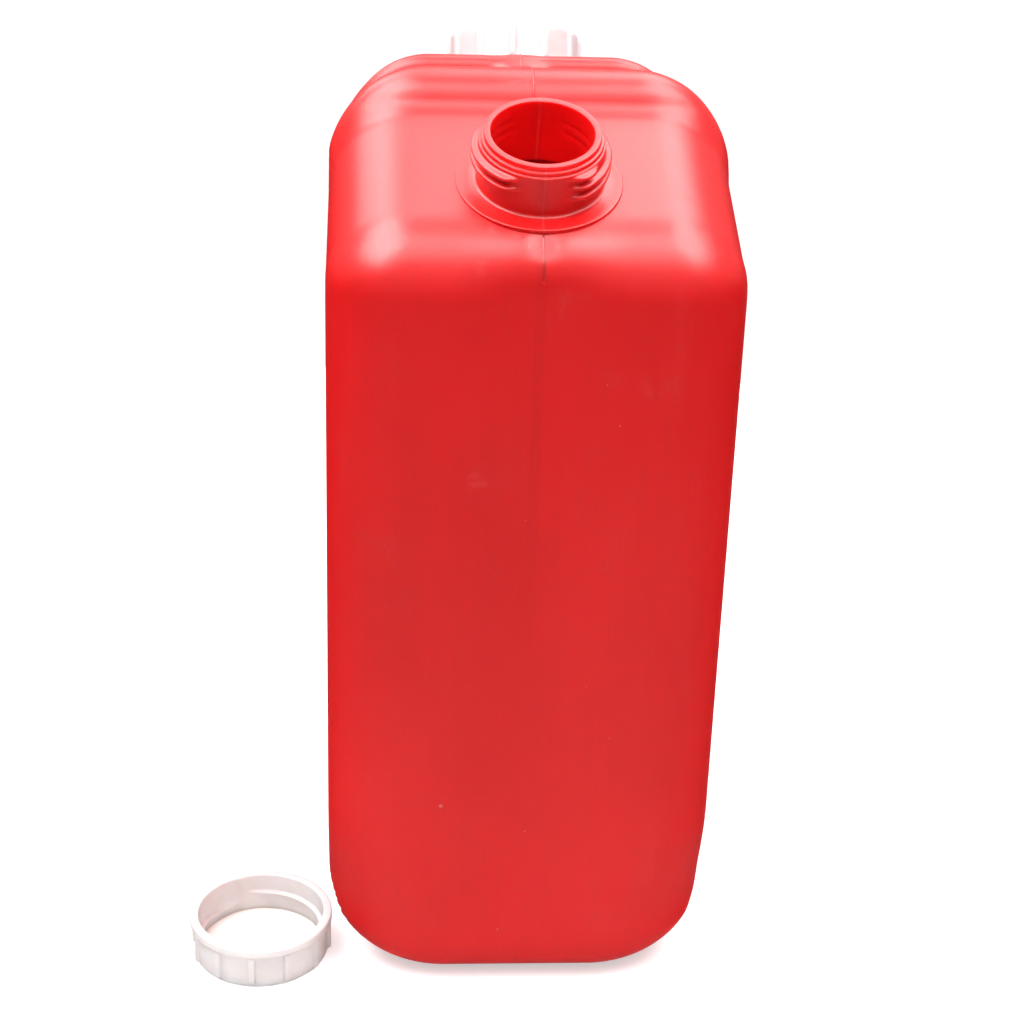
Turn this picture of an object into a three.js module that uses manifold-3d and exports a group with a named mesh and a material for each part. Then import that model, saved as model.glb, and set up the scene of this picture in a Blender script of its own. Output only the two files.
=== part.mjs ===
// Two-neck jerry can: a blow-moulded case with a hollow handle between two crests, two tilted screw necks,
// and two ribbed caps with sealing discs. One cap is screwed on, the other lies beside the can, open end up.
// Millimetres. X runs across the can, Y from the open neck to the capped one, Z up; it stands on Z = 0.
import * as THREE from "three";
import { ConvexGeometry } from "three/addons/geometries/ConvexGeometry.js";
import { mergeVertices } from "three/addons/utils/BufferGeometryUtils.js";
import Module from "manifold-3d";

const wasm = await Module();
wasm.setup();

// ---- Driving dimensions

const CASE = {
  width: 188,
  depth: 280,
  wall: 2,
  edgeRadius: 35,
  baseCorner: { across: 58, along: 26, up: 48 }, // the lower side edges are wider than they are high
  straightFrom: 72, // above this height every upright edge has the plain radius
  shoulderHeight: 378.5, // where the sloping top would meet the end face
  slope: THREE.MathUtils.degToRad(23.1),
};
const BASE_CHANNEL = { halfWidth: 24, depth: 1.2, draft: 4 };

// The front crest stands in front of the hand recess, the rear one behind it.
const CRESTS = [
  { y: -31.2, top: 434, halfWidth: 93, cornerRadius: 45, edge: 16.5 },
  { y: 54, top: 423.8, halfWidth: 86.5, cornerRadius: 41, edge: 11 },
];
const CREST_ROOT = 330;

const RECESS = { from: -20.5, to: 47, floor: 361, cornerRadius: 18 };
const HANDLE = { from: -30, to: 54, top: 421, width: 24, height: 23, cornerRadius: 9 };

// The neck's own axis is w, square to the slope, with w = 0 on the flange's top face.
const NECK = {
  fromEnd: 43.4, // the neck's axis meets the flange this far behind the end face
  height: 24.6,
  boreRadius: 22.6,
  rootRadius: 27.8,
  footRadius: 31,
  footDepth: 5,
  flange: { radius: 37, thickness: 2, rise: 1.4 },
};
const LIP_RINGS = [
  { radius: 26.8, from: 20.2, to: 22.2 },
  { radius: 25.6, from: 22.2, to: 24.6 },
];
const PITCH = 5;
const NECK_THREAD = {
  first: -Math.PI / 2, // starts at the front parting line, and ends on the right, under the lip rings
  last: (23 * Math.PI) / 6,
  heightAtZero: 9,
  rootWidth: 3,
  crestWidth: 1.2,
  crestRadius: 30.8,
};
// Share of |cos| from the parting line over which a crest grows to its height.
const PARTING_FADE = { from: 0.34, to: 0.62 };

const CAP = {
  height: 22.8,
  innerRadius: 31.4,
  skirtRadius: 33.6,
  lipRadius: 35.7,
  lipHeight: 5.5,
  plate: 1.6,
  chamfer: 0.5,
  crownChamfer: 2.2,
};
const CAP_THREAD = {
  first: -0.6 * Math.PI,
  turns: 1,
  rootWidth: 2.6,
  crestWidth: 1.2,
  crestRadius: 29.3,
};
const RIB = { count: 12, width: 3.2, outerRadius: 35.3, from: 5, to: 20 };
const SEAL = { radius: 30.4, thickness: 1.2, panelRadius: 22, panelThickness: 0.8 };
const GAP = 0.3;

const LOOSE_CAP = { x: -128.2, y: -107.1, ribTurn: 95, offLevel: 0.0003 }; // lies a hair off level
const REAR_CAP = { ribTurn: 85 };

const ROUND_STEPS = 36;
const EDGE_STEPS = 6;
const WELD = 1e-4;
const OVERRUN = 20; // how far a cutting solid runs past the skin it cuts

const COLOURS = {
  red: { color: 0xde1f24, roughness: 0.42, metalness: 0 },
  natural: { color: 0xf4eeea, roughness: 0.35, metalness: 0 },
  disc: { color: 0xfdfbf8, roughness: 0.5, metalness: 0 },
};

// ---- Solids

function solidOf(geometry) {
  const plain = geometry.index ? geometry.toNonIndexed() : geometry;
  const bare = new THREE.BufferGeometry().setAttribute("position", plain.getAttribute("position"));
  const welded = mergeVertices(bare, WELD);
  const mesh = new wasm.Mesh({
    numProp: 3,
    vertProperties: welded.attributes.position.array,
    triVerts: new Uint32Array(welded.index.array),
  });
  return new wasm.Manifold(mesh);
}

function geometryOf(solid) {
  const mesh = solid.getMesh();
  const geometry = new THREE.BufferGeometry();
  geometry.setAttribute("position", new THREE.BufferAttribute(mesh.vertProperties, 3));
  geometry.setIndex(new THREE.BufferAttribute(mesh.triVerts, 1));
  geometry.computeVertexNormals();
  return geometry;
}

function joined(solids) {
  return solids.reduce((whole, piece) => whole.add(piece));
}

/** Turns a closed or axis-to-axis profile of [radius, height] points about Z. */
function turned(profile) {
  const points = profile.map(([radius, height]) => new THREE.Vector2(radius, height));
  return new THREE.LatheGeometry(points, ROUND_STEPS).rotateX(Math.PI / 2);
}

/** A rectangle of two corners, with the given corners of its outline rounded. */
function roundedRectangle(x0, y0, x1, y1, radius, roundBelow = true, roundAbove = true) {
  const below = roundBelow ? radius : 0;
  const above = roundAbove ? radius : 0;
  const shape = new THREE.Shape();
  shape.moveTo(x0 + below, y0);
  shape.lineTo(x1 - below, y0);
  if (below) shape.absarc(x1 - below, y0 + below, below, -Math.PI / 2, 0);
  shape.lineTo(x1, y1 - above);
  if (above) shape.absarc(x1 - above, y1 - above, above, 0, Math.PI / 2);
  shape.lineTo(x0 + above, y1);
  if (above) shape.absarc(x0 + above, y1 - above, above, Math.PI / 2, Math.PI);
  shape.lineTo(x0, y0 + below);
  if (below) shape.absarc(x0 + below, y0 + below, below, Math.PI, Math.PI * 1.5);
  return shape;
}

/** Extrudes an outline drawn in X and Z along +Y, from y = from to y = to. */
function alongY(shape, from, to, edge = 0) {
  const geometry = new THREE.ExtrudeGeometry(shape, {
    depth: to - from - 2 * edge,
    curveSegments: EDGE_STEPS,
    bevelEnabled: edge > 0,
    bevelThickness: edge,
    bevelSize: edge,
    bevelOffset: -edge,
    bevelSegments: EDGE_STEPS,
  });
  return geometry.rotateX(Math.PI / 2).translate(0, to - edge, 0);
}

/** Extrudes an outline drawn in Y and Z along X, from -halfLength to +halfLength. */
function alongX(shape, halfLength) {
  const geometry = new THREE.ExtrudeGeometry(shape, {
    depth: 2 * halfLength,
    curveSegments: EDGE_STEPS,
    bevelEnabled: false,
  });
  const [x, y, z] = [
    new THREE.Vector3(0, 1, 0),
    new THREE.Vector3(0, 0, 1),
    new THREE.Vector3(1, 0, 0),
  ];
  return geometry.translate(0, 0, -halfLength).applyMatrix4(new THREE.Matrix4().makeBasis(x, y, z));
}

/**
 * A screw thread: a bar of trapezoid section bent into a right-hand helix about Z.
 * It runs from the first angle to the last; height says how much of its crest stands at an angle.
 */
function thread(rootRadius, crestRadius, rootWidth, crestWidth, heightAtZero, first, last, height) {
  const steps = Math.round(((last - first) / (2 * Math.PI)) * ROUND_STEPS);
  const bar = new THREE.BoxGeometry(last - first, 1, 1, steps, 1, 1);
  const position = bar.getAttribute("position");
  const outward = Math.sign(crestRadius - rootRadius);
  for (let i = 0; i < position.count; i += 1) {
    const angle = position.getX(i) + (first + last) / 2;
    const atCrest = position.getY(i) * outward > 0;
    const radius = atCrest ? THREE.MathUtils.lerp(rootRadius, crestRadius, height(angle)) : rootRadius;
    const width = atCrest ? crestWidth : rootWidth;
    const rise = heightAtZero + (PITCH * angle) / (2 * Math.PI) + position.getZ(i) * width;
    position.setXYZ(i, radius * Math.cos(angle), radius * Math.sin(angle), rise);
  }
  return solidOf(bar);
}

// ---- Case

/** The case without crests or recess: the hull of its rounded corners, offset inwards by inset. */
function caseHull(inset) {
  const { edgeRadius: r, baseCorner, straightFrom, shoulderHeight, slope } = CASE;
  const halfWidth = CASE.width / 2;
  const endFace = CASE.depth / 2;
  const underSlope = (y) => shoulderHeight + (endFace - Math.abs(y)) * Math.tan(slope) - r / Math.cos(slope);
  const round = new THREE.Vector3(r, r, r);
  const base = new THREE.Vector3(baseCorner.across, baseCorner.along, baseCorner.up);
  const end = endFace - r;
  const foot = endFace - baseCorner.along;
  const corners = [
    { y: -foot, z: baseCorner.up, radii: base },
    { y: foot, z: baseCorner.up, radii: base },
    { y: -end, z: straightFrom, radii: round },
    { y: end, z: straightFrom, radii: round },
    { y: -end, z: underSlope(end), radii: round },
    { y: end, z: underSlope(end), radii: round },
    ...CRESTS.map(({ y }) => ({ y, z: underSlope(y), radii: round })),
  ];
  const points = [];
  for (const { y, z, radii } of corners) {
    for (const side of [-1, 1]) {
      const ball = new THREE.SphereGeometry(1, 4 * EDGE_STEPS, 2 * EDGE_STEPS);
      ball.scale(radii.x - inset, radii.y - inset, radii.z - inset);
      ball.translate(side * (halfWidth - radii.x), y, z);
      const position = ball.getAttribute("position");
      for (let i = 0; i < position.count; i += 1) {
        points.push(new THREE.Vector3().fromBufferAttribute(position, i));
      }
    }
  }
  return solidOf(new ConvexGeometry(points));
}

/** A crest is a slab rounded over in one arc from its front to its back. */
function crest({ y, top, halfWidth, cornerRadius, edge }, inset) {
  const across = halfWidth - inset;
  const shape = roundedRectangle(-across, CREST_ROOT, across, top - inset, cornerRadius - inset, false);
  const half = edge - inset;
  return solidOf(alongY(shape, y - half - 0.1, y + half + 0.1, half));
}

/** The hand recess, which runs right across the can and is open above; grown for the skin around it. */
function recess(growth) {
  const above = CRESTS[0].top + OVERRUN;
  const radius = RECESS.cornerRadius + growth;
  const [from, to, floor] = [RECESS.from - growth, RECESS.to + growth, RECESS.floor - growth];
  const shape = roundedRectangle(from, floor, to, above, radius, true, false);
  return solidOf(alongX(shape, CASE.width / 2 + OVERRUN));
}

function handle(inset) {
  const { from, to, top, width, height, cornerRadius } = HANDLE;
  const half = width / 2 - inset;
  const shape = roundedRectangle(-half, top - height + inset, half, top - inset, cornerRadius - inset);
  return solidOf(alongY(shape, from, to));
}

/** The shallow channel along the underside that leaves the can standing on a strip at each side. */
function baseChannel(growth) {
  const { halfWidth, depth, draft } = BASE_CHANNEL;
  const reach = CASE.depth / 2 + OVERRUN;
  const top = halfWidth + growth;
  const foot = top + draft;
  const shape = new THREE.Shape();
  shape.moveTo(-foot, -OVERRUN);
  shape.lineTo(foot, -OVERRUN);
  shape.lineTo(foot, growth);
  shape.lineTo(top, depth + growth);
  shape.lineTo(-top, depth + growth);
  shape.lineTo(-foot, growth);
  return solidOf(alongY(shape, -reach, reach));
}

/** The case filled out to its outer skin, or to its inner skin when inset by the wall. */
function filledCase(inset) {
  return joined([caseHull(inset), ...CRESTS.map((each) => crest(each, inset))])
    .subtract(recess(inset))
    .add(handle(inset))
    .subtract(baseChannel(inset));
}

// ---- Necks

/** Stands a solid made about Z on the front neck; the rear neck is the same turned half round. */
function onNeck(solid, rear) {
  const { fromEnd, flange } = NECK;
  const y = -CASE.depth / 2 + fromEnd;
  const z = CASE.shoulderHeight + fromEnd * Math.tan(CASE.slope) + flange.rise / Math.cos(CASE.slope);
  const tilt = THREE.MathUtils.radToDeg(CASE.slope);
  const front = solid.rotate([tilt, 0, 0]).translate([0, y, z]);
  return rear ? front.rotate([0, 0, 180]) : front;
}

/** Neck threads sink into the wall at the mould's parting line, front and back. */
function partingFade(angle) {
  return THREE.MathUtils.smoothstep(Math.abs(Math.cos(angle)), PARTING_FADE.from, PARTING_FADE.to);
}

function neckWall() {
  const { height, boreRadius, rootRadius, footRadius, footDepth, flange } = NECK;
  const inner = boreRadius - 1;
  const rings = LIP_RINGS.flatMap(({ radius, from, to }) => [
    [radius, from],
    [radius, to],
  ]);
  const profile = [
    [inner, -footDepth],
    [footRadius, -footDepth],
    [footRadius, -flange.thickness],
    [flange.radius, -flange.thickness],
    [flange.radius, 0],
    [rootRadius + 1, 0],
    [rootRadius, 1],
    [rootRadius, LIP_RINGS[0].from],
    ...rings,
    [inner, height],
    [inner, -footDepth],
  ];
  return solidOf(turned(profile));
}

function neckThread() {
  const { first, last, heightAtZero, rootWidth, crestWidth, crestRadius } = NECK_THREAD;
  const buried = NECK.rootRadius - 1;
  return thread(buried, crestRadius, rootWidth, crestWidth, heightAtZero, first, last, partingFade);
}

function neckBore() {
  const { height, boreRadius, footDepth } = NECK;
  const [low, high] = [-footDepth - OVERRUN / 2, height + OVERRUN];
  const bore = new THREE.CylinderGeometry(boreRadius, boreRadius, high - low, ROUND_STEPS);
  return solidOf(bore.rotateX(Math.PI / 2).translate(0, 0, (low + high) / 2));
}

function canBody() {
  const neck = neckWall().add(neckThread());
  const bore = neckBore();
  const skin = joined([filledCase(0), onNeck(neck, false), onNeck(neck, true)]);
  return skin
    .subtract(filledCase(CASE.wall))
    .subtract(onNeck(bore, false))
    .subtract(onNeck(bore, true));
}

// ---- Caps, made about Z with the open end at 0 and the closed end up

function capShell() {
  const { height, innerRadius, skirtRadius, lipRadius, lipHeight, plate, chamfer, crownChamfer } = CAP;
  const ceiling = height - plate;
  const profile = [
    [0, ceiling],
    [innerRadius, ceiling],
    [innerRadius, 0],
    [lipRadius - chamfer, 0],
    [lipRadius, chamfer],
    [lipRadius, lipHeight],
    [skirtRadius, lipHeight],
    [skirtRadius, height - crownChamfer],
    [skirtRadius - crownChamfer, height],
    [0, height],
  ];
  return solidOf(turned(profile));
}

function capRibs() {
  const { count, width, outerRadius, from, to } = RIB;
  const buried = CAP.skirtRadius - 1;
  const ribs = [];
  for (let i = 0; i < count; i += 1) {
    const rib = new THREE.BoxGeometry(outerRadius - buried, width, to - from);
    rib.translate((outerRadius + buried) / 2, 0, (to + from) / 2);
    ribs.push(solidOf(rib.rotateZ((2 * Math.PI * i) / count)));
  }
  return joined(ribs);
}

/** Height of a screwed-on cap's open end along the neck's axis. */
const CAP_SEAT = NECK.height + 2 * GAP + SEAL.thickness + CAP.plate - CAP.height;

/** The cap's thread lies in the neck thread's groove, half a pitch above one of its turns. */
function capThread() {
  const { first, turns, rootWidth, crestWidth, crestRadius } = CAP_THREAD;
  const buried = CAP.innerRadius + 1;
  const groove = NECK_THREAD.heightAtZero + 1.5 * PITCH - CAP_SEAT;
  const last = first + 2 * Math.PI * turns;
  return thread(buried, crestRadius, rootWidth, crestWidth, groove, first, last, () => 1);
}

/** The ribs are turned by ribTurn degrees; the thread keeps its place in the neck's groove. */
function screwCap(ribTurn) {
  const ribs = capRibs().rotate([0, 0, ribTurn]);
  return joined([capShell(), ribs, capThread()]);
}

/** The sealing disc, in the cap's place: under the ceiling, with a thinner middle panel. */
function sealingDisc() {
  const { radius, thickness, panelRadius, panelThickness } = SEAL;
  const top = CAP.height - CAP.plate - GAP;
  const profile = [
    [0, top - panelThickness],
    [panelRadius, top - panelThickness],
    [panelRadius + 1, top - thickness],
    [radius, top - thickness],
    [radius, top],
    [0, top],
  ];
  return solidOf(turned(profile));
}

// ---- Assembly

function named(name, solid, colours) {
  const mesh = new THREE.Mesh(geometryOf(solid), new THREE.MeshStandardMaterial(colours));
  mesh.name = name;
  return mesh;
}

function onRearNeck(capPart) {
  return onNeck(capPart.translate([0, 0, CAP_SEAT]), true);
}

const looseGroup = new THREE.Group();
looseGroup.position.set(LOOSE_CAP.x, LOOSE_CAP.y, CAP.height);
looseGroup.rotation.set(Math.PI + LOOSE_CAP.offLevel, 0, 0);
looseGroup.add(
  named("loose_cap", screwCap(LOOSE_CAP.ribTurn), COLOURS.natural),
  named("loose_cap_seal", sealingDisc(), COLOURS.disc),
);

const jerryCan = new THREE.Group();
jerryCan.add(
  named("can_body", canBody(), COLOURS.red),
  named("rear_cap", onRearNeck(screwCap(REAR_CAP.ribTurn)), COLOURS.natural),
  named("rear_cap_seal", onRearNeck(sealingDisc()), COLOURS.disc),
  looseGroup,
);

export default jerryCan;
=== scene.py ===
"""Looks for the two-neck jerry can: a moulded red case with two threaded necks, two ribbed translucent caps
and their sealing discs, on a white floor under soft light. Shapes are in millimetres in the CAD's frame."""

import math

import bpy
import numpy as np
from mathutils import Matrix, Vector


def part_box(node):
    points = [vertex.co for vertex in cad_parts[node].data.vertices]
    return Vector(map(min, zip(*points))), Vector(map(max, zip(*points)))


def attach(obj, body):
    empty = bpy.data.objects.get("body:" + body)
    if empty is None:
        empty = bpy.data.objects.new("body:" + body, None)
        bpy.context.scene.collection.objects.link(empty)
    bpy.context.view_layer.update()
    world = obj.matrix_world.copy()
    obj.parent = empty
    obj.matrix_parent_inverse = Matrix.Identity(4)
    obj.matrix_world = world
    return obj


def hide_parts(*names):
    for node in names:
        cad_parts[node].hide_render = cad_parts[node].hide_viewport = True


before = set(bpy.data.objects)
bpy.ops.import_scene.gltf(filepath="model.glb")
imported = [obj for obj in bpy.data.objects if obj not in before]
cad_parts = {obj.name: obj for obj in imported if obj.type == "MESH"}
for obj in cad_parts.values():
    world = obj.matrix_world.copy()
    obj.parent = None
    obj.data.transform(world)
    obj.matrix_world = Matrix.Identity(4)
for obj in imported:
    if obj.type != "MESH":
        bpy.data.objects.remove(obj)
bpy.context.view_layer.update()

MM = 0.001

# ---- Sizes shared with the CAD, in millimetres

WALL = 2.0
SLOPE = math.radians(23.1)
SHOULDER_HEIGHT = 378.5  # where the sloping top would meet the end face
SHOULDER_RADIUS = 38.0
SHOULDER_UNDER_FLANGE = 24.0  # tighter in the middle, so that the slope reaches under the flange
TIGHT_SHOULDER = (4.0, 40.0)  # distances from the middle over which that radius gives way to the plain one
FOOT_RADIUS = 26.0
UPRIGHT_RADIUS = 33.0
SLOPE_EDGE_RADIUS = 40.0
SLOPE_EDGE_BLEND = 12.0
BASE_CORNER_ACROSS = 58.0
BASE_CORNER_UP = 48.0
BASE_CORNER_BLEND = (0.6, 1.8)  # heights where it starts and stops giving way, in corner heights
CRESTS = (
    {"y": -31.2, "top": 434.0, "half_width": 93.0, "corner": 45.0, "edge": 16.5, "fillet": 11.0},
    {"y": 54.0, "top": 423.8, "half_width": 86.5, "corner": 41.0, "edge": 11.0, "fillet": 8.0},
)
CREST_ROOT = 312.0  # deep inside the case
RECESS = {"y": (-20.5, 47.0), "floor": 361.0, "height": 200.0, "corner": 18.0, "edge": 5.0}
HANDLE = {"y": (-28.0, 54.0), "top": 420.5, "width": 24.0, "height": 23.0, "corner": 9.0, "fillet": 6.0}
DIMPLE = {"y": 134.2, "z": 378.2, "tilt": math.radians(40), "radius": 5.8, "depth": 0.6, "edge": 1.6,
          "floor_edge": 0.8}
BASE_CHANNEL = {"half_width": 26.0, "depth": 1.2, "roof_edge": 1.0}

NECK_FROM_END = 43.4
FLANGE_RISE = 1.4
NECK_HEIGHT = 24.6
BORE_RADIUS = 22.6
ROOT_RADIUS = 27.8
FOOT_RADIUS_IN_WALL = 31.0
FLANGE_RADIUS = 37.0
LIP_STEPS = ((26.8, 20.2), (25.6, 22.2))  # radius of each lip ring, and the height where it begins
PITCH = 5.0
NECK_THREAD = {"first": -math.pi / 2, "last": 23 * math.pi / 6, "height_at_zero": 9.0, "crest": 30.8}

CAP_HEIGHT = 22.8
CAP_INNER_RADIUS = 31.4
SKIRT_RADIUS = 33.6
LIP_RADIUS = 35.7
LIP_HEIGHT = 4.2
PLATE = 1.6
GAP = 0.3
CAP_THREAD_RADIUS = 29.3
CAP_THREAD_FIRST = -0.6 * math.pi
RIBS = 12
RIB_WIDTH = 3.2
RIB_RADIUS = 35.3
RIB_END = 20.0
SEAL = {"radius": 30.4, "thickness": 1.2, "panel_radius": 22.0, "panel_thickness": 0.8}
CAP_SEAT = NECK_HEIGHT + 2 * GAP + SEAL["thickness"] + PLATE - CAP_HEIGHT
LOOSE_CAP_PLACE = (-128.2, -107.1)
LOOSE_RIB_TURN = 95.0
REAR_RIB_TURN = 85.0

BODY_LOW, BODY_HIGH = (np.array(corner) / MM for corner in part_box("can_body"))
HALF_WIDTH = BODY_HIGH[0]
END_FACE = BODY_HIGH[1]


# ---- Distance fields: negative inside, roughly millimetres near a surface

def rounded_and(a, b, radius):
    """The part inside both fields, with a circular edge between them."""
    corner = np.hypot(np.maximum(a + radius, 0), np.maximum(b + radius, 0))
    return np.minimum(-radius, np.maximum(a, b)) + corner


def filleted_or(a, b, radius, cosine=0.0):
    """The part inside either field, with a circular fillet; cosine is the one between their normals."""
    s, t = radius - a, radius - b
    reach = np.sqrt(np.maximum(s * s + t * t - 2 * cosine * s * t, 0) / (1 - cosine**2))
    return np.where((s > cosine * t) & (t > cosine * s), radius - reach, np.minimum(a, b))


def elliptic_and(a, b, a_radius, b_radius):
    """As rounded_and, with an elliptical edge that starts a_radius inside a and b_radius inside b."""
    u = 1 + a / a_radius
    v = 1 + b / b_radius
    corner = (np.hypot(u, v) - 1) * np.minimum(a_radius, b_radius)
    return np.where((u > 0) & (v > 0), corner, np.maximum(a, b))


def rounded_box_2d(u, v, low, high, radius):
    centre = [(lo + hi) / 2 for lo, hi in zip(low, high)]
    half = [(hi - lo) / 2 - radius for lo, hi in zip(low, high)]
    du = np.abs(u - centre[0]) - half[0]
    dv = np.abs(v - centre[1]) - half[1]
    return np.hypot(np.maximum(du, 0), np.maximum(dv, 0)) + np.minimum(np.maximum(du, dv), 0) - radius


def polygon_distance(u, v, corners):
    """Signed distance to a convex polygon whose corners run anticlockwise."""
    nearest = np.full(u.shape, np.inf)
    deepest = np.full(u.shape, -np.inf)
    for (u0, v0), (u1, v1) in zip(corners, corners[1:] + corners[:1]):
        eu, ev = u1 - u0, v1 - v0
        length = math.hypot(eu, ev)
        along = np.clip(((u - u0) * eu + (v - v0) * ev) / length**2, 0, 1)
        nearest = np.minimum(nearest, np.hypot(u - u0 - along * eu, v - v0 - along * ev))
        deepest = np.maximum(deepest, ((u - u0) * ev - (v - v0) * eu) / length)
    return np.where(deepest > 0, nearest, deepest)


def smooth(value, low, high):
    t = np.clip((value - low) / (high - low), 0, 1)
    return t * t * (3 - 2 * t)


def slope_height(y):
    """Height of the sloping top's plane above a place along the can."""
    return SHOULDER_HEIGHT + (END_FACE - np.abs(y)) * math.tan(SLOPE)


def side_outline(y, z, r):
    """The can seen from its side with shoulders of radius r, without crests, recess or handle."""
    end = END_FACE - r
    shoulder = slope_height(end) - r / math.cos(SLOPE)
    front_top, rear_top = (slope_height(crest["y"]) - r / math.cos(SLOPE) for crest in CRESTS)
    upper = polygon_distance(y, z, [
        (-end, r), (end, r), (end, shoulder),
        (CRESTS[1]["y"], rear_top), (CRESTS[0]["y"], front_top), (-end, shoulder),
    ]) - r
    foot = rounded_box_2d(y, z, (-END_FACE, 0), (END_FACE, shoulder + r), FOOT_RADIUS)
    return np.where(z > 2 * SHOULDER_RADIUS, upper, foot)


def case_field(x, y, z):
    """The case without crests, recess or handle: its side outline, rounded where it meets the flat sides."""
    side = np.abs(x) - HALF_WIDTH
    middle = 1 - smooth(np.abs(x), *TIGHT_SHOULDER)
    plain, tight = side_outline(y, z, SHOULDER_RADIUS), side_outline(y, z, SHOULDER_UNDER_FLANGE)
    outline = plain + middle * (tight - plain)
    under_slope = (slope_height(y) - z) * math.cos(SLOPE)
    behind_end = END_FACE - np.abs(y)
    lift = smooth(behind_end - under_slope, -SLOPE_EDGE_BLEND, SLOPE_EDGE_BLEND) * (z > END_FACE)
    drop = 1 - smooth(z, *(BASE_CORNER_UP * share for share in BASE_CORNER_BLEND))
    plain_edge = UPRIGHT_RADIUS + lift * (SLOPE_EDGE_RADIUS - UPRIGHT_RADIUS)
    across = plain_edge + drop * (BASE_CORNER_ACROSS - UPRIGHT_RADIUS)
    inward = plain_edge + drop * (BASE_CORNER_UP - UPRIGHT_RADIUS)
    return elliptic_and(side, outline, across, inward)


def crest_field(crest, x, y, z):
    half = crest["half_width"]
    outline = rounded_box_2d(x, z, (-half, CREST_ROOT), (half, crest["top"]), crest["corner"])
    slab = np.abs(y - crest["y"]) - crest["edge"]
    return rounded_and(outline, slab, crest["edge"])


def recess_field(y, z):
    low = (RECESS["y"][0], RECESS["floor"])
    high = (RECESS["y"][1], RECESS["floor"] + RECESS["height"])
    return rounded_box_2d(y, z, low, high, RECESS["corner"])


def handle_field(x, y, z):
    half = HANDLE["width"] / 2
    low = (-half, HANDLE["top"] - HANDLE["height"])
    high = (half, HANDLE["top"])
    bar = rounded_box_2d(x, z, low, high, HANDLE["corner"])
    middle = sum(HANDLE["y"]) / 2
    return np.maximum(bar, np.abs(y - middle) - (HANDLE["y"][1] - middle))


def channel_field(x, z):
    beside, above = np.abs(x) - BASE_CHANNEL["half_width"], z - BASE_CHANNEL["depth"]
    return rounded_and(beside, above, BASE_CHANNEL["roof_edge"])


def dimple_field(x, y, z):
    """A shallow round-bottomed hollow in each shoulder, square to it, under the flange's front edge."""
    tilt = DIMPLE["tilt"]
    out, rise = np.abs(y) - DIMPLE["y"], z - DIMPLE["z"]
    across = np.hypot(x, rise * math.cos(tilt) - out * math.sin(tilt)) - DIMPLE["radius"]
    depth = DIMPLE["depth"] + out * math.cos(tilt) + rise * math.sin(tilt)
    return rounded_and(across, -depth, DIMPLE["floor_edge"])


def body_field(points):
    """The outer skin of the whole moulding, without its necks."""
    x, y, z = points
    field = case_field(x, y, z)
    for crest in CRESTS:
        out, rise = np.abs(y - crest["y"]), np.maximum(z - crest["top"] + crest["edge"], 0)
        cosine = (out * math.sin(SLOPE) + rise * math.cos(SLOPE)) / np.maximum(np.hypot(out, rise), 1e-6)
        cosine = np.clip(cosine, 0, 0.95)
        field = filleted_or(field, crest_field(crest, x, y, z), crest["fillet"], cosine)
    field = rounded_and(field, -recess_field(y, z), RECESS["edge"])
    field = filleted_or(field, handle_field(x, y, z), HANDLE["fillet"])
    field = rounded_and(field, -channel_field(x, z), BASE_CHANNEL["depth"])
    field = rounded_and(field, -dimple_field(x, y, z), DIMPLE["edge"])
    return np.maximum(field, np.abs(x) - HALF_WIDTH)


# ---- Surface from a field

NET_STEP = 3.0
GRADIENT_STEP = 0.05


def gradient(field, points):
    """Unit outward directions of a field at some points."""
    columns = []
    for axis in range(3):
        shift = np.zeros((3, 1))
        shift[axis] = GRADIENT_STEP
        columns.append(field(points + shift) - field(points - shift))
    direction = np.array(columns)
    size = np.linalg.norm(direction, axis=0)
    return direction / np.maximum(size, 1e-9), size / (2 * GRADIENT_STEP)


def pull_to_surface(field, points, rounds=4):
    for _ in range(rounds):
        direction, steepness = gradient(field, points)
        points = points - direction * np.clip(field(points) / np.maximum(steepness, 0.3), -2, 2)
    return points


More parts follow.
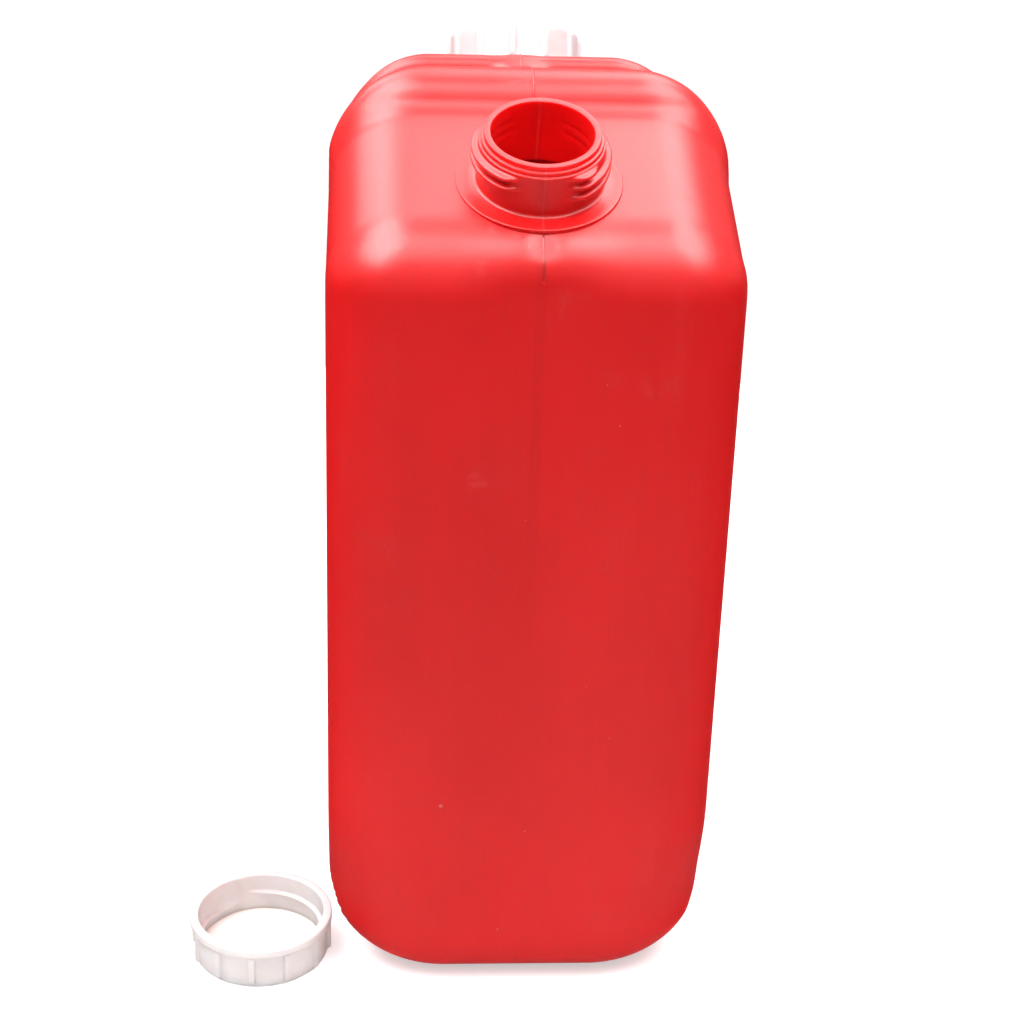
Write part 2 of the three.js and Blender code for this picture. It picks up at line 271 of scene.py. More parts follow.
def surface_net(field, low, high, step):
    """Quads round the zero level of a field: one vertex in each grid cell that the surface crosses."""
    axes = [np.arange(a, b + step, step) for a, b in zip(low, high)]
    grid = np.array(np.meshgrid(*axes, indexing="ij"))
    values = field(grid.reshape(3, -1)).reshape(grid.shape[1:])
    inside = values < 0
    cells = tuple(n - 1 for n in inside.shape)
    offsets = [(i, j, k) for i in (0, 1) for j in (0, 1) for k in (0, 1)]

    def corner(array, offset):
        return array[tuple(slice(o, o + n) for o, n in zip(offset, cells))]

    filled = sum(corner(inside, o).astype(np.int8) for o in offsets)
    active = (filled > 0) & (filled < 8)
    index = np.full(cells, -1)
    index[active] = np.arange(active.sum())
    total = np.zeros((3,) + cells)
    count = np.zeros(cells)
    for o in offsets:
        for axis in range(3):
            if o[axis]:
                continue
            far = tuple(v + (n == axis) for n, v in enumerate(o))
            a, b = corner(values, o), corner(values, far)
            crosses = (a < 0) != (b < 0)
            share = np.where(crosses, a / np.where(crosses, a - b, 1), 0)
            for n in range(3):
                start = corner(grid[n], o)
                total[n] += np.where(crosses, start + (share * step if n == axis else 0), 0)
            count += crosses
    points = total[:, active] / count[active]
    faces = []
    for axis in range(3):
        u, v = [(1, 2), (2, 0), (0, 1)][axis]
        size = list(inside.shape)
        size[axis] -= 1
        here = inside[tuple(slice(0, s) for s in size)]
        nxt = inside[tuple(slice(1, s + 1) if n == axis else slice(0, s) for n, s in enumerate(size))]
        where = np.argwhere(here != nxt)
        where = where[(where[:, u] > 0) & (where[:, v] > 0)
                      & (where[:, u] < cells[u]) & (where[:, v] < cells[v])]
        quad = []
        for du, dv in ((1, 1), (0, 1), (0, 0), (1, 0)):
            cell = where.copy()
            cell[:, u] -= du
            cell[:, v] -= dv
            quad.append(index[tuple(cell.T)])
        quad = np.array(quad).T
        leaving = here[tuple(where.T)]
        quad[~leaving] = quad[~leaving][:, ::-1]
        faces.append(quad)
    return points, np.concatenate(faces)


def relaxed(field, points, faces, rounds=6):
    """Evens out the quads by moving each vertex towards its neighbours' middle and back to the surface."""
    edges = np.concatenate([faces[:, [i, (i + 1) % 4]] for i in range(4)])
    edges = np.concatenate([edges, edges[:, ::-1]])
    degree = np.bincount(edges[:, 0], minlength=points.shape[1])
    for _ in range(rounds):
        middle = np.array([np.bincount(edges[:, 0], row[edges[:, 1]], points.shape[1]) for row in points])
        middle = middle / np.maximum(degree, 1)
        direction, _ = gradient(field, points)
        move = 0.5 * (middle - points)
        move -= direction * (move * direction).sum(0)
        points = pull_to_surface(field, points + move, 1)
    return pull_to_surface(field, points, 2)


# ---- Meshes

def mesh_object(name, points, faces, material):
    """A Blender mesh from an array of points in millimetres, three rows, and an array or list of faces."""
    mesh = bpy.data.meshes.new(name)
    mesh.from_pydata((points.T * MM).tolist(), [], [tuple(int(i) for i in face) for face in faces])
    mesh.validate()
    mesh.shade_smooth()
    mesh.materials.append(material)
    piece = bpy.data.objects.new(name, mesh)
    bpy.context.scene.collection.objects.link(piece)
    return piece


def shelled(points, faces, inner):
    """Joins an open skin to a copy of it moved inwards, and closes the edges between the two."""
    count = points.shape[1]
    sides = np.concatenate([faces[:, [i, (i + 1) % 4]] for i in range(4)])
    keys = set(map(tuple, sides.tolist()))
    rim = [(a, b) for a, b in keys if (b, a) not in keys]
    walls = np.array([(b, a, a + count, b + count) for a, b in rim])
    skin = np.concatenate([points, inner], axis=1)
    return skin, np.concatenate([faces, faces[:, ::-1] + count, walls])


def neck_frame(rear):
    """The neck's place: its axis is w, from the flange's top face. The rear one is turned half round."""
    y = -END_FACE + NECK_FROM_END
    z = SHOULDER_HEIGHT + NECK_FROM_END * math.tan(SLOPE) + FLANGE_RISE / math.cos(SLOPE)
    place = Matrix.Translation((0, y, z)) @ Matrix.Rotation(SLOPE, 4, "X")
    return Matrix.Rotation(math.pi if rear else 0, 4, "Z") @ place


def placed(matrix, points):
    rotation = np.array(matrix.to_3x3())
    return rotation @ points + np.array(matrix.translation)[:, None]


NECK_HOLE = {"radius": 27.0, "depth": 30.0}  # in the case, under each neck


def build_case(material):
    points, faces = surface_net(body_field, BODY_LOW - 2 * NET_STEP - [NET_STEP / 2, 0, 0],
                                BODY_HIGH + 3 * NET_STEP, NET_STEP)
    points = relaxed(body_field, pull_to_surface(body_field, points), faces)
    for rear in (False, True):
        local = placed(neck_frame(rear).inverted(), points)
        hole = (np.hypot(local[0], local[1]) < NECK_HOLE["radius"]) & (local[2] > -NECK_HOLE["depth"])
        faces = faces[~hole[faces].all(axis=1)]
    used, renumbered = np.unique(faces, return_inverse=True)
    points = points[:, used]
    faces = renumbered.reshape(-1, 4)
    direction, _ = gradient(body_field, points)
    skin, faces = shelled(points, faces, points - direction * WALL)
    return mesh_object("can_case", skin, faces, material)


# ---- Turned parts: rows follow the profile, columns go round the axis

def turned(angles, radius, height, closed):
    """Points and faces of a turned skin. An open profile starts and ends on the axis."""
    rows, columns = radius.shape
    points = np.array([radius * np.cos(angles), radius * np.sin(angles), height]).reshape(3, -1)
    row = np.arange(rows if closed else rows - 1)[:, None]
    column = np.arange(columns)[None, :]
    here, after = row * columns, (row + 1) % rows * columns
    turn = (column + 1) % columns
    faces = np.stack([here + column, here + turn, after + turn, after + column], axis=-1).reshape(-1, 4)
    if closed:
        return points, faces
    ends = np.array([[0, 0, height[0].mean()], [0, 0, height[-1].mean()]]).T
    first, last = rows * columns, rows * columns + 1
    column, turn = column[0], turn[0]
    top = (rows - 1) * columns
    caps = [(int(first), int(t), int(c)) for c, t in zip(column, turn)]
    caps += [(int(last), int(top + c), int(top + t)) for c, t in zip(column, turn)]
    return np.concatenate([points, ends], axis=1), faces.tolist() + caps


def round_steps(count, *seams):
    """Even angles round the axis, with closer ones at the seams."""
    close = np.radians([-1.5, -0.75, -0.35, 0, 0.35, 0.75, 1.5])
    extra = [seam + offset for seam in seams for offset in close]
    angles = np.concatenate([np.linspace(-math.pi, math.pi, count, endpoint=False), extra])
    return np.unique(np.round(angles, 5))


def arc(centre, radius, start, end, steps):
    """Profile points on a circular arc, in degrees from outwards to upwards."""
    turn = np.radians(np.linspace(start, end, steps))
    return [(centre[0] + radius * math.cos(t), centre[1] + radius * math.sin(t)) for t in turn]


def ridge(distance, crest, root):
    """Share of a ridge's height at a distance from its middle; crest and root are half widths."""
    return 1 - smooth(np.abs(distance), crest, root)


def helix(angle, height, first, last, at_zero, crest, root, fade=0.3):
    """Share of a thread's height at places round an axis; it grows over fade radians at both its ends."""
    share = np.zeros(np.broadcast(angle, height).shape)
    for whole_turns in range(-1, 3):
        along = angle + 2 * math.pi * whole_turns
        ends = smooth(along, first, first + fade) * (1 - smooth(along, last - fade, last))
        off_thread = height - at_zero - PITCH * along / (2 * math.pi)
        share = np.maximum(share, ends * ridge(off_thread, crest, root))
    return share


def columns_of(outline, angles):
    """Radius and height of an outline's points, one row each, repeated at every angle."""
    return (np.repeat(np.array(column)[:, None], len(angles), axis=1) for column in zip(*outline))


SEAM = {"height": 0.22, "half_width": 0.45, "lowest": 362.0, "full": 378.0, "sunk_end": 0.06,
        "on_neck": 0.1, "on_crest": 0.3, "wider_on_crest": 0.1, "crest_from": 418.0, "crest_to": 426.0}
NECK_DEPTH = 7.0  # how far the neck's wall reaches into the case, under its flange's face
FLANGE_EDGE = 0.5
NECK_FILLET = 1.8
LIP_EDGES = {"ring": 0.35, "lip": 0.5, "bore": 0.7, "step": 0.12}
PARTING_FADE = (0.34, 0.62)  # share of |cos| from the parting line over which a thread grows
BORE_MARK = 0.2  # how deep the threads outside show inside
FLANGE_SINK = {"back": 0.8, "front_skirt": 2.2}  # the flange lies closer to the case behind the neck


def build_neck(name, rear, material):
    angles = round_steps(360, -math.pi / 2, math.pi / 2)
    wall_top = LIP_STEPS[0][1]
    outline = [(BORE_RADIUS, -NECK_DEPTH), (26.5, -NECK_DEPTH), (FOOT_RADIUS_IN_WALL, -NECK_DEPTH)]
    skirt_row = len(outline)
    outline += [(FLANGE_RADIUS, -3), (FLANGE_RADIUS, -2.4), (FLANGE_RADIUS, -1.4)]
    outline += arc((FLANGE_RADIUS - FLANGE_EDGE, -FLANGE_EDGE), FLANGE_EDGE, 0, 90, 5)
    outline += [(radius, 0) for radius in (35.6, 34.4, 33.2, 32, 31)]
    bends = [(NECK_FILLET * math.sin(t), NECK_FILLET * math.cos(t)) for t in np.radians(range(0, 91, 15))]
    outline += [(ROOT_RADIUS + NECK_FILLET - across, NECK_FILLET - up) for across, up in bends]
    wall_start = len(outline)
    outline += [(ROOT_RADIUS, height) for height in np.arange(2.1, wall_top - 0.5, 0.26)]
    wall_end = len(outline)
    outline += arc((ROOT_RADIUS - 0.4, wall_top - 0.4), 0.4, 0, 90, 4)
    (ring, ring_from), (lip, lip_from) = LIP_STEPS
    ring_edge, lip_edge, bore_edge, step = (LIP_EDGES[edge] for edge in ("ring", "lip", "bore", "step"))
    outline += [(ring + step, ring_from), (ring, ring_from + step)]
    outline += arc((ring - ring_edge, lip_from - ring_edge), ring_edge, 0, 90, 4)
    outline += [(lip + step, lip_from), (lip, lip_from + step)]
    outline += arc((lip - lip_edge, NECK_HEIGHT - lip_edge), lip_edge, 0, 90, 5)
    outline += arc((BORE_RADIUS + bore_edge, NECK_HEIGHT - bore_edge), bore_edge, 90, 180, 5)
    bore_start = len(outline)
    outline += [(BORE_RADIUS, height) for height in np.arange(NECK_HEIGHT - 1.2, -6.8, -0.6)]
    radius, height = columns_of(outline, angles)
    parting = smooth(np.abs(np.cos(angles)), *PARTING_FADE)
    thread = parting * helix(angles, height, NECK_THREAD["first"], NECK_THREAD["last"],
                             NECK_THREAD["height_at_zero"], 0.5, 1.7)
    wall = slice(wall_start, wall_end)
    radius[wall] += (NECK_THREAD["crest"] - ROOT_RADIUS) * thread[wall]
    radius[bore_start:] += BORE_MARK * thread[bore_start:]
    off_seam = np.abs(np.abs(angles) - math.pi / 2) * ROOT_RADIUS
    seam = SEAM["on_neck"] * ridge(off_seam, 0.1, SEAM["half_width"])
    radius[wall] += seam
    flange = slice(skirt_row + 1, wall_start)
    outwards = smooth(radius[flange], ROOT_RADIUS + 1, ROOT_RADIUS + 5)
    sink = FLANGE_SINK["back"] * (1 + np.sin(angles)) * outwards
    height[flange] += seam * (height[flange] > -0.1) - sink
    height[skirt_row] -= FLANGE_SINK["front_skirt"] * np.maximum(0, -np.sin(angles))
    points, faces = turned(angles, radius, height, closed=True)
    return mesh_object(name, placed(neck_frame(rear), points), faces, material)


CROWN_RADIUS = 2.2


def cap_skin(rib_turn):
    """A screw cap about its axis, open end at height 0."""
    angles = round_steps(720)
    ceiling = CAP_HEIGHT - PLATE
    outline = [(r, ceiling) for r in (6, 14, 22, 28)]
    outline += arc((CAP_INNER_RADIUS - 1, ceiling - 1), 1, 90, 0, 4)
    inner_start = len(outline)
    outline += [(CAP_INNER_RADIUS, height) for height in np.arange(ceiling - 1.2, 0.9, -0.3)]
    inner_end = len(outline)
    outline += arc((CAP_INNER_RADIUS + 0.5, 0.5), 0.5, 180, 270, 4)
    outline += arc((LIP_RADIUS - 0.8, 0.8), 0.8, 270, 360, 5) + [(LIP_RADIUS, 1.8), (LIP_RADIUS, 2.8)]
    outline += arc((LIP_RADIUS - 0.6, LIP_HEIGHT - 0.6), 0.6, 0, 90, 4)
    outline += [(SKIRT_RADIUS + 0.5, LIP_HEIGHT)]
    skirt_start = len(outline)
    rib_heights = (LIP_HEIGHT + 0.4, 7, 9, 11, 13, 15, 17, 18.8, RIB_END - 0.45, RIB_END - 0.15)
    outline += [(SKIRT_RADIUS, height) for height in rib_heights]
    skirt_end = len(outline)
    outline += [(SKIRT_RADIUS, RIB_END + 0.1)]
    outline += arc((SKIRT_RADIUS - CROWN_RADIUS, CAP_HEIGHT - CROWN_RADIUS), CROWN_RADIUS, 0, 90, 8)
    outline += [(r, CAP_HEIGHT) for r in (29, 22, 14, 6)]
    radius, height = columns_of(outline, angles)
    spacing = 2 * math.pi / RIBS
    off_rib = (np.mod(angles - math.radians(rib_turn) + spacing / 2, spacing) - spacing / 2) * SKIRT_RADIUS
    rib = ridge(off_rib, RIB_WIDTH / 2 - 0.35, RIB_WIDTH / 2 + 0.25)
    skirt = slice(skirt_start, skirt_end)
    taper = np.where(height[skirt] > RIB_END - 0.3, 0.8, 1)
    radius[skirt] += (RIB_RADIUS - SKIRT_RADIUS) * rib * taper
    groove = NECK_THREAD["height_at_zero"] + 1.5 * PITCH - CAP_SEAT
    inside = slice(inner_start, inner_end)
    last = CAP_THREAD_FIRST + 2 * math.pi
    thread = helix(angles, height[inside], CAP_THREAD_FIRST, last, groove, 0.4, 1.3)
    radius[inside] -= (CAP_INNER_RADIUS - CAP_THREAD_RADIUS) * thread
    return turned(angles, radius, height, closed=False)


def seal_skin():
    """The sealing disc in its cap's place, with a thinner middle panel on the neck's side."""
    angles = round_steps(180)
    top = CAP_HEIGHT - PLATE - GAP
    low = top - SEAL["thickness"]
    panel = SEAL["panel_radius"]
    outline = [(r, top - SEAL["panel_thickness"]) for r in (8, 15, panel)]
    outline += [(panel + 0.5, top - SEAL["thickness"] + 0.08), (panel + 0.9, low), (26, low)]
    outline += arc((SEAL["radius"] - 0.3, low + 0.3), 0.3, 270, 360, 4)
    outline += arc((SEAL["radius"] - 0.3, top - 0.3), 0.3, 0, 90, 4)
    outline += [(r, top) for r in (24, 15, 8)]
    radius, height = columns_of(outline, angles)
    return turned(angles, radius, height, closed=False)


def rear_cap_frame():
    return neck_frame(rear=True) @ Matrix.Translation((0, 0, CAP_SEAT))


def loose_cap_frame():
    return Matrix.Translation((*LOOSE_CAP_PLACE, CAP_HEIGHT)) @ Matrix.Rotation(math.pi, 4, "X")


def build_turned(name, skin, matrix, material):
    points, faces = skin
    return mesh_object(name, placed(matrix, points), faces, material)


# ---- Parting line

def middle_outline(step=2.0):
    """Points of the body's outline in the plane X = 0, from the middle of the base round by the front."""
    def flat(point):
        return np.array([[0.0], [point[0]], [point[1]]])

    def outward(point):
        dy = body_field(flat(point + [GRADIENT_STEP, 0])) - body_field(flat(point - [GRADIENT_STEP, 0]))
        dz = body_field(flat(point + [0, GRADIENT_STEP])) - body_field(flat(point - [0, GRADIENT_STEP]))
        normal = np.array([dy[0], dz[0]])
        return normal / np.linalg.norm(normal)

    point = np.array([0.0, BASE_CHANNEL["depth"]])
    points, normals = [], []
    while len(points) < 10 or np.linalg.norm(point - points[0]) > 0.75 * step:
        normal = outward(point)
        points.append(point)
        normals.append(normal)
        point = point + step * np.array([normal[1], -normal[0]])
        for _ in range(2):
            point = point - outward(point) * body_field(flat(point))[0]
    return np.array(points), np.array(normals)


def clear_of_necks(y, z):
    """True where the parting line shows in the plane X = 0: high up, and outside both necks."""
    points = np.array([0 * y, y, z])
    clear = z > SEAM["lowest"]
    for rear in (False, True):
        local = placed(neck_frame(rear).inverted(), points)
        clear &= (np.abs(local[1]) > FLANGE_RADIUS - 0.5) | (np.abs(local[2]) > 12)
    return clear


def build_parting_line(material):
    outline, normals = middle_outline()
    y, z = outline.T
    on_crest = smooth(z, SEAM["crest_from"], SEAM["crest_to"])
    grown = smooth(z, SEAM["lowest"], SEAM["full"])
    height = SEAM["height"] * grown - SEAM["sunk_end"] * (1 - grown) + SEAM["on_crest"] * on_crest
    half_width = SEAM["half_width"] + SEAM["wider_on_crest"] * on_crest
    half_section = ((-1.3, -0.25), (-1, 0.02), (-0.55, 0.75), (0, 1))
    section = half_section + tuple((-across, lift) for across, lift in half_section[-2::-1])
    rows = []
    for across, lift in section:
        rise = np.where(lift < 0, lift, height * lift)
        rows.append([across * half_width, y + normals[:, 0] * rise, z + normals[:, 1] * rise])
    points = np.array(rows).transpose(1, 0, 2)
    around, count = points.shape[1:]
    clear = clear_of_necks(y, z)
    faces = []
    for i in range(count):
        j = (i + 1) % count
        if clear[i] and clear[j]:
            for r in range(around):
                here, after = r * count, (r + 1) % around * count
                faces.append([here + i, here + j, after + j, after + i])
        if clear[i] != clear[j]:
            end = i if clear[i] else j
            ring = [r * count + end for r in range(around)]
            faces.append(ring if clear[i] else ring[::-1])
    used = sorted({index for face in faces for index in face})
    number = {index: i for i, index in enumerate(used)}
    faces = [[number[index] for index in face] for face in faces]
    return mesh_object("parting_line", points.reshape(3, -1)[:, used], faces, material)


# ---- Materials, in metres of each piece's own coordinates

class Shader:
    """A Principled material and the few kinds of node that its grain, wear and tints are mixed from."""

    def __init__(self, name, base, roughness):
        self.material = bpy.data.materials.new(name)
        self.material.use_nodes = True
        self.nodes, self.links = self.material.node_tree.nodes, self.material.node_tree.links
        self.surface = self.nodes["Principled BSDF"]
        self.surface.inputs["Base Color"].default_value = (*base, 1)
        self.surface.inputs["Roughness"].default_value = roughness
        self.position = self.nodes.new("ShaderNodeTexCoord").outputs["Object"]

    def scatter(self, weight, radius):
        """Lets light sink in by up to a radius in metres for red, green and blue."""
        self.surface.inputs["Subsurface Weight"].default_value = weight
        self.surface.inputs["Subsurface Radius"].default_value = radius
        self.surface.inputs["Subsurface Scale"].default_value = 1.0

    def feed(self, socket, value):
        if hasattr(value, "is_output"):
            self.links.new(value, socket)
        else:
            socket.default_value = value

    def noise(self, per_metre, detail=3.0, offset=0.0):
        """Noise from 0 to 1; per_metre is its fineness along x, y and z."""
        mapping = self.nodes.new("ShaderNodeMapping")
        mapping.inputs["Scale"].default_value = per_metre
        mapping.inputs["Location"].default_value = (offset, offset, offset)
        texture = self.nodes.new("ShaderNodeTexNoise")
        texture.inputs["Scale"].default_value = 1
        texture.inputs["Detail"].default_value = detail
        self.links.new(self.position, mapping.inputs["Vector"])
        self.links.new(mapping.outputs[0], texture.inputs["Vector"])
        return texture.outputs["Fac"]

    def remap(self, value, start, end, low=0.0, high=1.0):
        """Runs smoothly from low to high as the value goes from start to end."""
        node = self.nodes.new("ShaderNodeMapRange")
        node.interpolation_type = "SMOOTHSTEP"
        for name, number in (("From Min", start), ("From Max", end), ("To Min", low), ("To Max", high)):
            node.inputs[name].default_value = number
        self.links.new(value, node.inputs["Value"])
        return node.outputs[0]

    def math(self, operation, a, b=0.0):
        node = self.nodes.new("ShaderNodeMath")
        node.operation = operation
        self.feed(node.inputs[0], a)
        self.feed(node.inputs[1], b)
        return node.outputs[0]

    def axis(self, name):
        node = self.nodes.new("ShaderNodeSeparateXYZ")
        self.links.new(self.position, node.inputs[0])
        return node.outputs[name]

    def distance(self, place):
        node = self.nodes.new("ShaderNodeVectorMath")
        node.operation = "DISTANCE"
        self.links.new(self.position, node.inputs[0])
        node.inputs[1].default_value = place
        return node.outputs["Value"]

    def mix(self, share, a, b):
        """Colour a blended into colour b by the share of b."""
        node = self.nodes.new("ShaderNodeMix")
        node.data_type = "RGBA"
        self.feed(node.inputs[0], share)
        self.feed(node.inputs[6], (*a, 1) if isinstance(a, tuple) else a)
        self.feed(node.inputs[7], (*b, 1) if isinstance(b, tuple) else b)
        return node.outputs[2]

    def bump(self, height, depth, under=None):
        """Lifts the shading normal by a height from 0 to 1, at depth metres."""
        node = self.nodes.new("ShaderNodeBump")
        node.inputs["Strength"].default_value = 1
        node.inputs["Distance"].default_value = depth
        self.links.new(height, node.inputs["Height"])
        if under is not None:
            self.links.new(under, node.inputs["Normal"])
        return node.outputs[0]


def red_polyethylene():
    """Blow-moulded skin: faint vertical draw lines, a fine satin grain, pale rubs, a few specks, and a paler
    seam line high up with a painted highlight on it.
    """
    red = Shader("red_polyethylene", (0.70, 0.002, 0.003), 0.36)
    surface = red.surface
    surface.inputs["Specular IOR Level"].default_value = 0.8
    red.scatter(0.6, (0.006, 0.0004, 0.0004))

    draw_lines = red.noise((700, 700, 9), 3)
    cloud = red.noise((16, 16, 7), 4, 3.0)
    grain = red.noise((1500, 1500, 1500), 2, 7.0)
    rubs = red.math("MULTIPLY", red.remap(red.noise((60, 60, 34), 6, 11.0), 0.58, 0.74),
                    red.remap(red.noise((420, 420, 420), 3, 5.0), 0.42, 0.66))
    specks = red.remap(red.noise((310, 310, 310), 1, 17.0), 0.815, 0.84)
    speck_on_face = red.remap(red.distance((-0.0395, -0.14, 0.104)), 0.0006, 0.0013, 1.0, 0.0)
    specks = red.math("MAXIMUM", specks, speck_on_face)

    across, up = red.axis("X"), red.axis("Z")
    from_seam = red.math("ABSOLUTE", red.math("ADD", across, 0.001))
    band = red.math("MULTIPLY", red.remap(from_seam, 0.0017, 0.0034, 1.0, 0.0),
                    red.remap(up, 0.12, 0.345))

    tone = red.mix(red.remap(cloud, 0.3, 0.7), (0.655, 0.0016, 0.0026), (0.735, 0.0026, 0.0036))
    tone = red.mix(red.remap(draw_lines, 0.35, 0.7, 0.0, 0.14), tone, (0.60, 0.0012, 0.002))
    tone = red.mix(red.math("MULTIPLY", band, 0.14), tone, (0.40, 0.0008, 0.0016))
    tone = red.mix(red.math("MULTIPLY", rubs, 0.10), tone, (0.84, 0.10, 0.10))
    tone = red.mix(red.math("MULTIPLY", specks, 0.45), tone, (0.9, 0.35, 0.33))
    # Paler seam line high up: partly a paler flash line, partly a painted highlight on its raised ridge.
    pale_seam_and_highlight = red.math("MULTIPLY", red.remap(red.math("ABSOLUTE", across), 0.0003, 0.0006, 1.0, 0.0),
                        red.remap(up, 0.362, 0.380))
    tone = red.mix(red.math("MULTIPLY", pale_seam_and_highlight, 0.05), tone, (0.86, 0.34, 0.32))
    red.feed(surface.inputs["Base Color"], tone)

    roughness = red.math("ADD", red.remap(draw_lines, 0.3, 0.7, 0.335, 0.385),
                         red.math("MULTIPLY", rubs, 0.14))
    red.feed(surface.inputs["Roughness"], roughness)
    lines = red.bump(draw_lines, 0.00003)
    red.feed(surface.inputs["Normal"], red.bump(grain, 0.000012, red.bump(cloud, 0.0004, lines)))
    return red.material


def natural_polyethylene():
    """Uncoloured translucent moulding: milky clouding, a fine grain, and scuffs that dull the sheen."""
    cap = Shader("natural_polyethylene", (0.9, 0.87, 0.85), 0.35)
    surface = cap.surface
    surface.inputs["Transmission Weight"].default_value = 0.3
    cap.scatter(0.4, (0.006, 0.005, 0.004))
    clouding = cap.noise((90, 90, 90), 4)
    grain = cap.noise((1800, 1800, 1800), 2, 3.0)
    scuffs = cap.math("MULTIPLY", cap.remap(cap.noise((130, 130, 420), 5, 9.0), 0.55, 0.72),
                      cap.remap(grain, 0.35, 0.6))
    tone = cap.mix(cap.remap(clouding, 0.3, 0.7), (0.85, 0.80, 0.795), (0.89, 0.86, 0.855))
    tone = cap.mix(cap.math("MULTIPLY", scuffs, 0.35), tone, (0.80, 0.76, 0.73))
    cap.feed(surface.inputs["Base Color"], tone)
    cap.feed(surface.inputs["Roughness"], cap.math("ADD", cap.remap(clouding, 0.3, 0.7, 0.3, 0.4),
                                                   cap.math("MULTIPLY", scuffs, 0.2)))
    cap.feed(surface.inputs["Normal"], cap.bump(grain, 0.00001, cap.bump(clouding, 0.00012)))
    return cap.material


def seal_material(name, centre, axis):
    """Foamed white disc, warmer at its rim and where the neck has pressed a ring into it."""
    disc = Shader(name, (0.95, 0.945, 0.93), 0.5)
    surface = disc.surface
    disc.scatter(0.25, (0.003, 0.0025, 0.002))
    offset = disc.nodes.new("ShaderNodeVectorMath")
    offset.operation = "SUBTRACT"
    offset.inputs[1].default_value = centre
    disc.links.new(disc.position, offset.inputs[0])
    cross = disc.nodes.new("ShaderNodeVectorMath")
    cross.operation = "CROSS_PRODUCT"
    cross.inputs[1].default_value = axis
    disc.links.new(offset.outputs[0], cross.inputs[0])
    length = disc.nodes.new("ShaderNodeVectorMath")
    length.operation = "LENGTH"
    disc.links.new(cross.outputs[0], length.inputs[0])
    from_axis = length.outputs["Value"]

    cells = disc.noise((1100, 1100, 1100), 3)
    mottle = disc.noise((70, 70, 70), 3, 4.0)
    rim = disc.remap(from_axis, 0.0268, 0.0304)
    pressed = disc.math("MULTIPLY", disc.remap(from_axis, 0.0221, 0.0231),
                        disc.remap(from_axis, 0.0262, 0.0252))
    tone = disc.mix(disc.remap(mottle, 0.3, 0.7), (0.955, 0.95, 0.935), (0.93, 0.915, 0.88))
    tone = disc.mix(disc.math("MULTIPLY", rim, 0.5), tone, (0.93, 0.78, 0.60))
    tone = disc.mix(disc.math("MULTIPLY", pressed, 0.4), tone, (0.90, 0.80, 0.68))
    disc.feed(surface.inputs["Base Color"], tone)
    disc.feed(surface.inputs["Roughness"], disc.remap(cells, 0.3, 0.7, 0.44, 0.58))
    disc.feed(surface.inputs["Normal"], disc.bump(cells, 0.00002))
    return disc.material


def white_floor():
    """Matt white table top that also glows a little, as a lit-through backdrop does."""
    top = Shader("white_floor", (0.72, 0.72, 0.72), 0.7)
    top.surface.inputs["Specular IOR Level"].default_value = 0.1
    top.surface.inputs["Emission Color"].default_value = (1, 1, 1, 1)
    rays = top.nodes.new("ShaderNodeLightPath")
    glow = top.math("MULTIPLY", rays.outputs["Is Camera Ray"], 0.5)
    top.feed(top.surface.inputs["Emission Strength"], glow)
    tooth = top.noise((900, 900, 900), 2)
    top.feed(top.surface.inputs["Base Color"], top.mix(tooth, (0.78, 0.78, 0.78), (0.82, 0.82, 0.82)))
    return top.material


# ---- Camera, light and floor

CAMERA = {"place": (-0.0682, -0.9555, 0.6095), "lens": 69.9, "pan": 0.071, "pitch": 0.407, "roll": 0.034}


def aim_camera():
    """Looks down at the can's front end; pan is to the right, pitch down, roll anticlockwise, in radians."""
    camera = bpy.data.cameras.new("camera")
    camera.sensor_width = 36
    camera.lens = CAMERA["lens"]
    camera.clip_end = 20
    seen = bpy.data.objects.new("camera", camera)
    bpy.context.scene.collection.objects.link(seen)
    pan, pitch, roll = CAMERA["pan"], CAMERA["pitch"], CAMERA["roll"]
    forward = Vector((math.sin(pan) * math.cos(pitch), math.cos(pan) * math.cos(pitch), -math.sin(pitch)))
    right = Vector((math.cos(pan), -math.sin(pan), 0))
    up = right.cross(forward)
    turned_right = right * math.cos(roll) + up * math.sin(roll)
    turned_up = up * math.cos(roll) - right * math.sin(roll)
    place = Matrix((turned_right, turned_up, -forward)).transposed().to_4x4()
    place.translation = Vector(CAMERA["place"])
    seen.matrix_world = place
    bpy.context.scene.camera = seen


def hang(lamp, target, azimuth, elevation, distance):
    """Puts a lamp round a target and faces it; azimuth 0 is the camera's side, positive to the right."""
    turn, rise = math.radians(azimuth), math.radians(elevation)
    away = Vector((math.sin(turn) * math.cos(rise), -math.cos(turn) * math.cos(rise), math.sin(rise)))
    holder = bpy.data.objects.new(lamp.name, lamp)
    bpy.context.scene.collection.objects.link(holder)
    holder.location = target + away * distance
    holder.rotation_euler = (-away).to_track_quat("-Z", "Y").to_euler()


def add_softbox(name, azimuth, elevation, distance, size, radiance):
    """A light of size (across, up) that faces the can's upper half."""
    lamp = bpy.data.lights.new(name, "AREA")
    lamp.shape = "RECTANGLE"
    lamp.size, lamp.size_y = size
    lamp.energy = radiance * math.pi * lamp.size * lamp.size_y
    hang(lamp, Vector((0, 0, 0.3)), azimuth, elevation, distance)


def light_bore():
    """A narrow lamp that shines into the open neck past its front rim."""
    distance = 1.4
    lamp = bpy.data.lights.new("bore_light", "SPOT")
    lamp.energy = 130
    lamp.spot_size = 2 * math.atan(0.9 * BORE_RADIUS * MM / distance)
    lamp.spot_blend = 0.35
    lamp.shadow_soft_size = 0.02
    hang(lamp, neck_frame(rear=False) @ Vector((0, 0, NECK_HEIGHT)) * MM, -6, 41, distance)


# Brightness of the room by height of direction: -1 straight down, 0 level, 1 straight up
ROOM = ((-1.0, 0.15), (-0.75, 0.15), (-0.55, 0.05), (-0.4, 0.0),
        (-0.1, 0.05), (0.1, 0.3), (0.4, 0.4), (1.0, 0.4))
BACKDROP = 1.1
FLOOR_RADIUS = 800.0


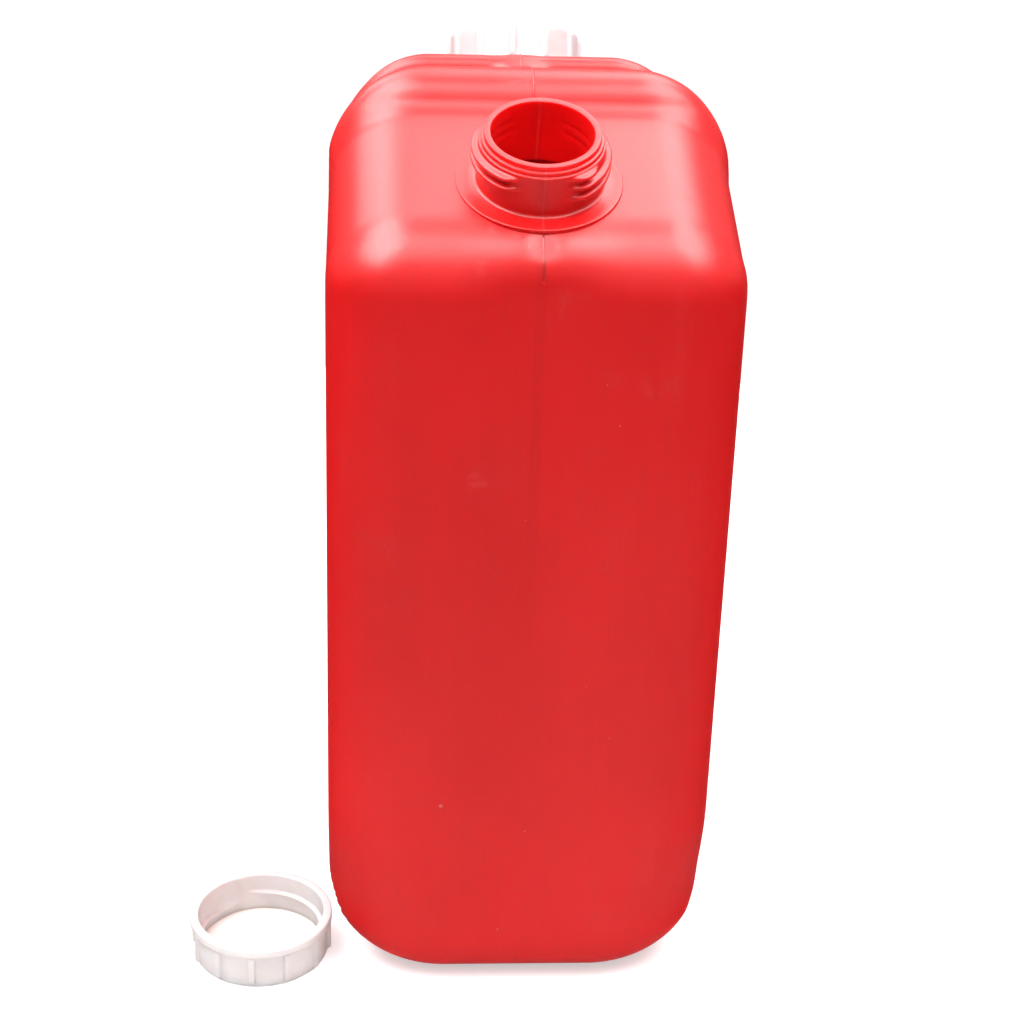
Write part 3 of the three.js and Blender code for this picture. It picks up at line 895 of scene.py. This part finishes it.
def light_scene():
    add_softbox("left_softbox", -76, 57, 1.5, (1.3, 0.85), 8.0)
    add_softbox("right_softbox", 72, 60, 1.5, (1.1, 0.8), 6.5)
    add_softbox("front_fill", 0, 57, 1.6, (2.2, 0.85), 2.6)
    add_softbox("rear_softbox", 178, 62, 1.5, (1.7, 1.3), 1.8)
    add_softbox("rear_right_softbox", 145, 55, 1.5, (0.7, 0.9), 3.0)
    add_softbox("rear_left_softbox", -141, 40, 1.5, (0.6, 0.7), 4.0)
    light_bore()
    world = bpy.data.worlds.new("studio")
    bpy.context.scene.world = world
    world.use_nodes = True
    nodes, links = world.node_tree.nodes, world.node_tree.links
    direction = nodes.new("ShaderNodeTexCoord")
    split = nodes.new("ShaderNodeSeparateXYZ")
    level = nodes.new("ShaderNodeMapRange")
    level.inputs["From Min"].default_value = -1
    ramp = nodes.new("ShaderNodeValToRGB")
    stops = ramp.color_ramp.elements
    while len(stops) < len(ROOM):
        stops.new(0.5)
    for stop, (height, brightness) in zip(stops, ROOM):
        stop.position = (height + 1) / 2
        stop.color = (brightness, brightness, brightness, 1)
    seen = nodes.new("ShaderNodeLightPath")
    mix = nodes.new("ShaderNodeMix")
    mix.data_type = "RGBA"
    mix.inputs[7].default_value = (BACKDROP, BACKDROP, BACKDROP, 1)
    links.new(direction.outputs["Generated"], split.inputs[0])
    links.new(split.outputs["Z"], level.inputs["Value"])
    links.new(level.outputs[0], ramp.inputs["Fac"])
    links.new(ramp.outputs["Color"], mix.inputs[6])
    links.new(seen.outputs["Is Camera Ray"], mix.inputs[0])
    links.new(mix.outputs[2], nodes["Background"].inputs["Color"])
    bpy.context.scene.view_settings.view_transform = "Standard"


def lay_floor():
    """A round white table; beyond it the room's bright backdrop shows."""
    angles = np.radians(np.arange(0, 360, 3))
    points = np.array([FLOOR_RADIUS * np.cos(angles), FLOOR_RADIUS * np.sin(angles), 0 * angles])
    floor = mesh_object("floor", points, [range(len(angles))], white_floor())
    floor.visible_glossy = False  # the can's lower sides don't mirror it


def show(piece, body, node):
    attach(piece, body)
    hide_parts(node)


def build_can():
    red = red_polyethylene()
    pieces = [build_case(red), build_neck("front_neck", False, red), build_neck("rear_neck", True, red),
              build_parting_line(red)]
    for piece in pieces:
        show(piece, "can", "can_body")


def build_caps():
    natural = natural_polyethylene()
    rear, loose = rear_cap_frame(), loose_cap_frame()
    upwards = Vector((0, 0, 1))
    rear_disc, loose_disc = (seal_material(name, place.translation * MM, place.to_3x3() @ upwards)
                             for name, place in (("rear_disc", rear), ("loose_disc", loose)))
    show(build_turned("screwed_cap", cap_skin(REAR_RIB_TURN), rear, natural),
         "rear_cap", "rear_cap")
    show(build_turned("screwed_cap_disc", seal_skin(), rear, rear_disc),
         "rear_seal", "rear_cap_seal")
    lying_cap = build_turned("lying_cap", cap_skin(LOOSE_RIB_TURN), loose, natural)
    lying_disc = build_turned("lying_cap_disc", seal_skin(), loose, loose_disc)
    for piece in (lying_cap, lying_disc):
        piece.visible_glossy = False  # no bright mirror image of them at the can's foot
    show(lying_cap, "loose_cap", "loose_cap")
    show(lying_disc, "loose_cap", "loose_cap_seal")


aim_camera()
light_scene()
lay_floor()
build_can()
build_caps()
